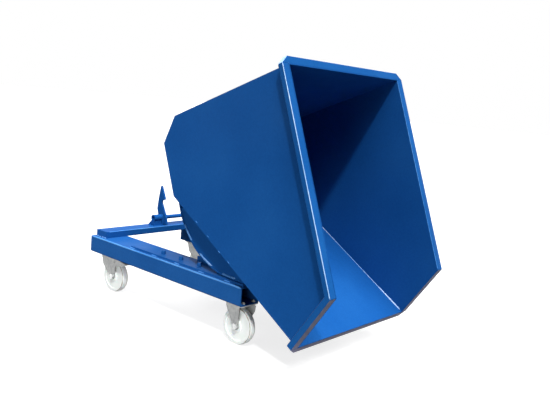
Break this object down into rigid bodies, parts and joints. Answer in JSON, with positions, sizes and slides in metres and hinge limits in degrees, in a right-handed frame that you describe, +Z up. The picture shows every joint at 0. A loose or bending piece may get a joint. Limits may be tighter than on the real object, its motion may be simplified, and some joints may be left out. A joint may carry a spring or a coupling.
{
  "type": "tipping skip trolley",
  "caption": "Steel tipping skip that rolls forward on curved rockers along a castor-mounted box-section base, held upright by a sprung hook latch",
  "frame": {"origin": "on the floor, under the middle of the wheelbase and midway between the two side members", "axes": "+X the way the skip tips and discharges, +Y to the left side when facing that way, +Z up"},
  "size_m": [1.9367, 1.039, 1.4924],
  "materials": {
    "blue_paint": "semi-gloss blue powder coat",
    "zinc": "zinc-plated pressed steel",
    "white_nylon": "satin white cast nylon",
    "spring_steel": "dark oiled spring wire"
  },
  "bodies": {
    "base": {"side_member_left": "blue_paint", "side_member_right": "blue_paint", "rail_left": "blue_paint", "rail_right": "blue_paint", "guide_left": "blue_paint", "guide_right": "blue_paint", "rail_pegs": "blue_paint", "cross_beam": "blue_paint", "beam_caps": "blue_paint", "front_tie": "blue_paint", "latch_lugs": "blue_paint", "latch_bearing": "blue_paint", "bearing_foot": "blue_paint", "front_bracket_left": "zinc", "front_bracket_right": "zinc", "axle_bolts_front": "zinc", "axle_nuts_front": "zinc", "axle_sleeves_front": "zinc", "rear_plate_left": "zinc", "rear_plate_right": "zinc", "swivel_race_left": "zinc", "swivel_race_right": "zinc", "kingpin_left": "zinc", "kingpin_right": "zinc", "castor_bolts": "zinc", "castor_nuts": "zinc", "return_spring": "spring_steel"},
    "skip": {"side_plate_left": "blue_paint", "side_plate_right": "blue_paint", "bottom_panel": "blue_paint", "chute_panel": "blue_paint", "chamfer_panel": "blue_paint", "back_panel": "blue_paint", "rim_back": "blue_paint", "rim_lip": "blue_paint", "rim_left": "blue_paint", "rim_right": "blue_paint", "rocker_flange_left": "blue_paint", "rocker_flange_right": "blue_paint", "rocker_web_left": "blue_paint", "rocker_web_right": "blue_paint", "keeper_lugs": "blue_paint", "keeper_pin": "blue_paint"},
    "latch": {"latch_shaft": "blue_paint", "hook": "blue_paint", "shaft_collar": "blue_paint"},
    "fork_left": {"fork_left": "zinc", "axle_bolt_rear_left": "zinc", "axle_nut_rear_left": "zinc", "axle_sleeve_rear_left": "zinc"},
    "fork_right": {"fork_right": "zinc", "axle_bolt_rear_right": "zinc", "axle_nut_rear_right": "zinc", "axle_sleeve_rear_right": "zinc"},
    "wheel_front_left": {"wheel_front_left": "white_nylon"},
    "wheel_front_right": {"wheel_front_right": "white_nylon"},
    "wheel_rear_left": {"wheel_rear_left": "white_nylon"},
    "wheel_rear_right": {"wheel_rear_right": "white_nylon"}
  },
  "joints": [
    {"name": "skip_tip", "type": "hinge", "parent": "base", "child": "skip", "pos_m": [0.21955, 0, 0.40237], "axis": [0, 1, 0], "range_deg": [-68.4, 0]},
    {"name": "latch_turn", "type": "hinge", "parent": "base", "child": "latch", "pos_m": [-0.651, 0, 0.423], "axis": [0, 1, 0], "range_deg": [-18, 0], "stiffness_Nm_per_rad": 5, "springref_deg": 20.05},
    {"name": "castor_swivel_left", "type": "hinge", "parent": "base", "child": "fork_left", "pos_m": [-0.5975, 0.362, 0.21], "axis": [0, 0, 1], "continuous": true},
    {"name": "castor_swivel_right", "type": "hinge", "parent": "base", "child": "fork_right", "pos_m": [-0.5975, -0.362, 0.21], "axis": [0, 0, 1], "continuous": true},
    {"name": "wheel_spin_front_left", "type": "hinge", "parent": "base", "child": "wheel_front_left", "pos_m": [0.5475, 0.362, 0.1], "axis": [0, 1, 0], "continuous": true},
    {"name": "wheel_spin_rear_left", "type": "hinge", "parent": "fork_left", "child": "wheel_rear_left", "pos_m": [-0.5475, 0.362, 0.1], "axis": [0, 1, 0], "continuous": true},
    {"name": "wheel_spin_front_right", "type": "hinge", "parent": "base", "child": "wheel_front_right", "pos_m": [0.5475, -0.362, 0.1], "axis": [0, 1, 0], "continuous": true},
    {"name": "wheel_spin_rear_right", "type": "hinge", "parent": "fork_right", "child": "wheel_rear_right", "pos_m": [-0.5475, -0.362, 0.1], "axis": [0, 1, 0], "continuous": true}
  ]
}
